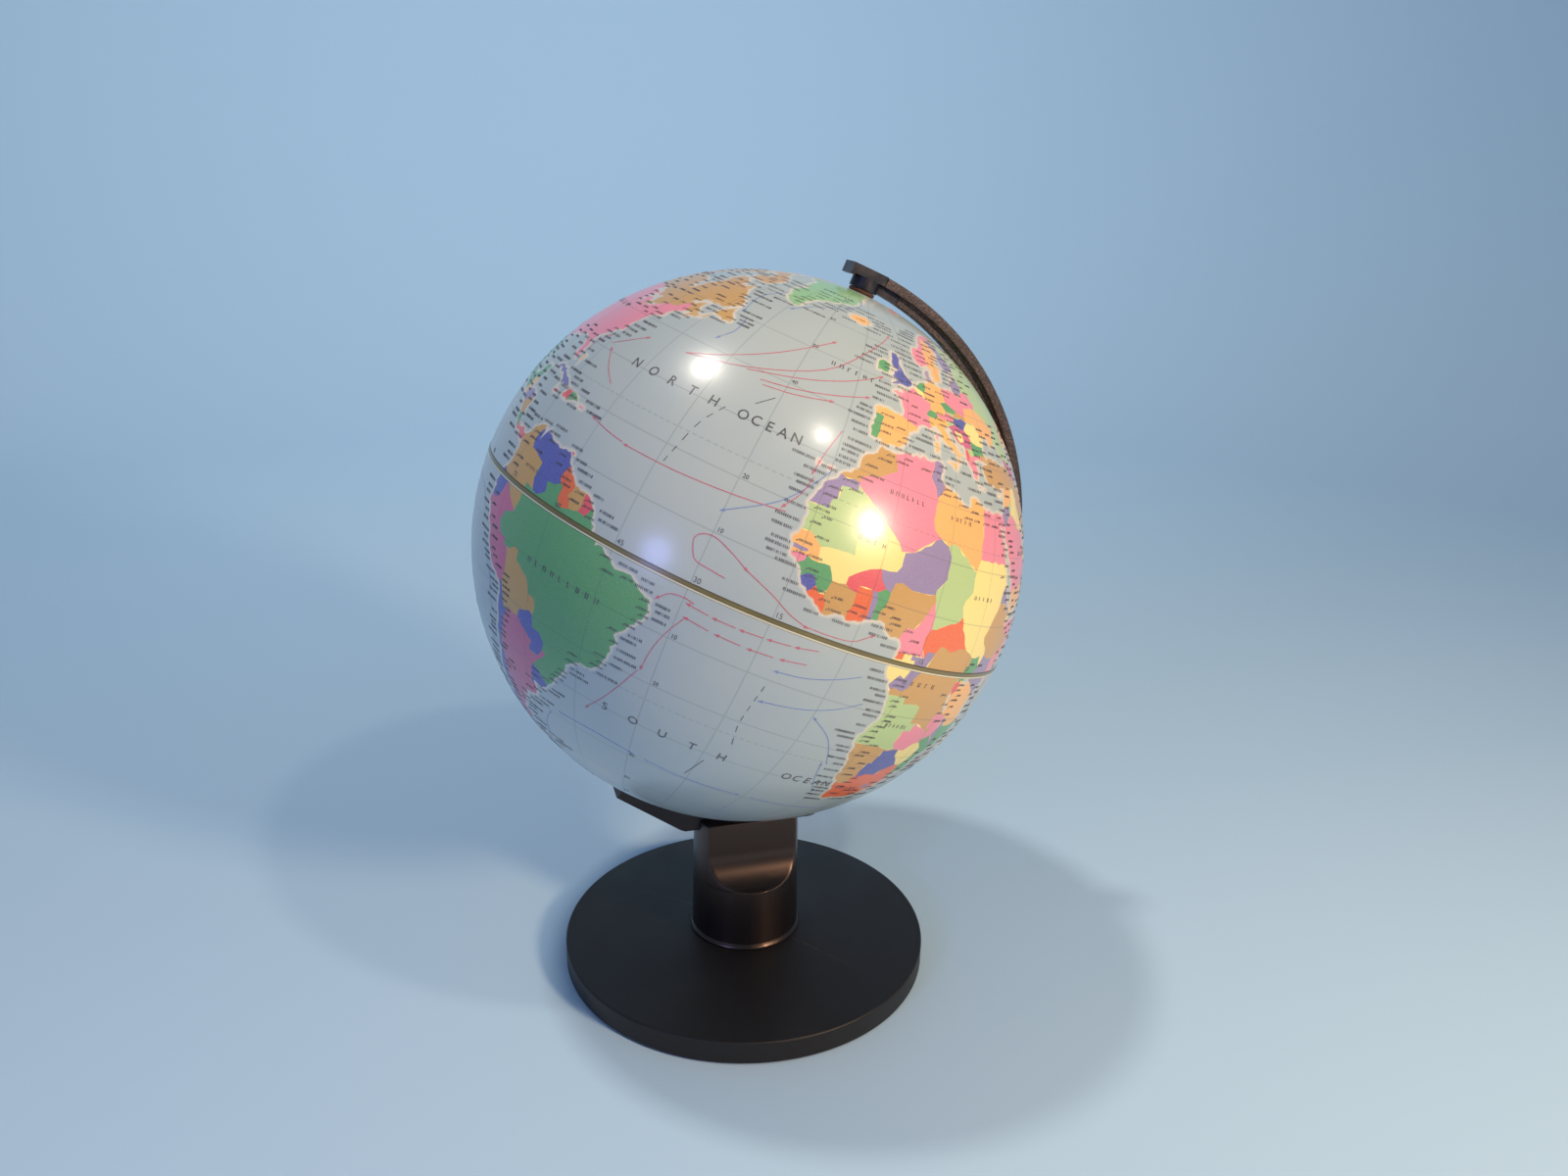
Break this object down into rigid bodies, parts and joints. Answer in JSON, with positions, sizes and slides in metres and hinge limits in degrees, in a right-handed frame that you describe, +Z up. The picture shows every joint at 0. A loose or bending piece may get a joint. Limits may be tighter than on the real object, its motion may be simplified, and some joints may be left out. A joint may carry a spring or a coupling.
{
  "type": "desktop globe on stand",
  "caption": "Tilted world globe that spins between two pole pins, held by a C-shaped meridian arm on a slotted column with a heavy round base.",
  "frame": {"origin": "centre of the underside of the pad under the base, on the surface that the object stands on", "axes": "+Z up; the meridian arm and the tilted axis lie in the XZ plane, with the north pole leaning towards +X; the map's front view is seen from -Y"},
  "size_m": [0.2611, 0.2502, 0.3462],
  "materials": {
    "base_plastic": "satin moulded plastic, blue-black",
    "column_plastic": "smooth satin moulded plastic, black",
    "arm_plastic": "fine-grained moulded plastic, brown-black",
    "head_plastic": "smooth satin moulded plastic, black",
    "globe_map": "glossy printed political map on a plastic ball",
    "seam_band": "olive-brown printed strip with a cream edge line",
    "felt": "short black felt",
    "zinc_steel": "bright zinc-plated steel",
    "ballast_steel": "raw mill-finish steel plate",
    "brass": "turned brass",
    "fibre": "red-brown hard fibre",
    "bush_plastic": "natural white moulded plastic"
  },
  "bodies": {
    "stand": {"base_pad": "felt", "base_shell": "base_plastic", "ballast_plate": "ballast_steel", "ballast_screw_1": "zinc_steel", "ballast_screw_2": "zinc_steel", "ballast_screw_3": "zinc_steel", "column": "column_plastic", "foot_bolt": "zinc_steel", "bolt_washer": "zinc_steel", "threaded_insert": "brass", "meridian_arm": "arm_plastic", "pole_head": "head_plastic", "head_screw": "zinc_steel", "north_pin": "zinc_steel", "north_washer": "fibre", "south_pin": "zinc_steel", "south_washer": "fibre"},
    "globe": {"north_hemisphere": "globe_map", "south_hemisphere": "globe_map", "equator_band": "seam_band", "join_ring": "bush_plastic", "north_bush": "bush_plastic", "south_bush": "bush_plastic"}
  },
  "joints": [
    {"name": "globe_spin", "type": "hinge", "parent": "stand", "child": "globe", "pos_m": [0, 0, 0.2171], "axis": [0.3987, 0, 0.9171], "continuous": true}
  ]
}
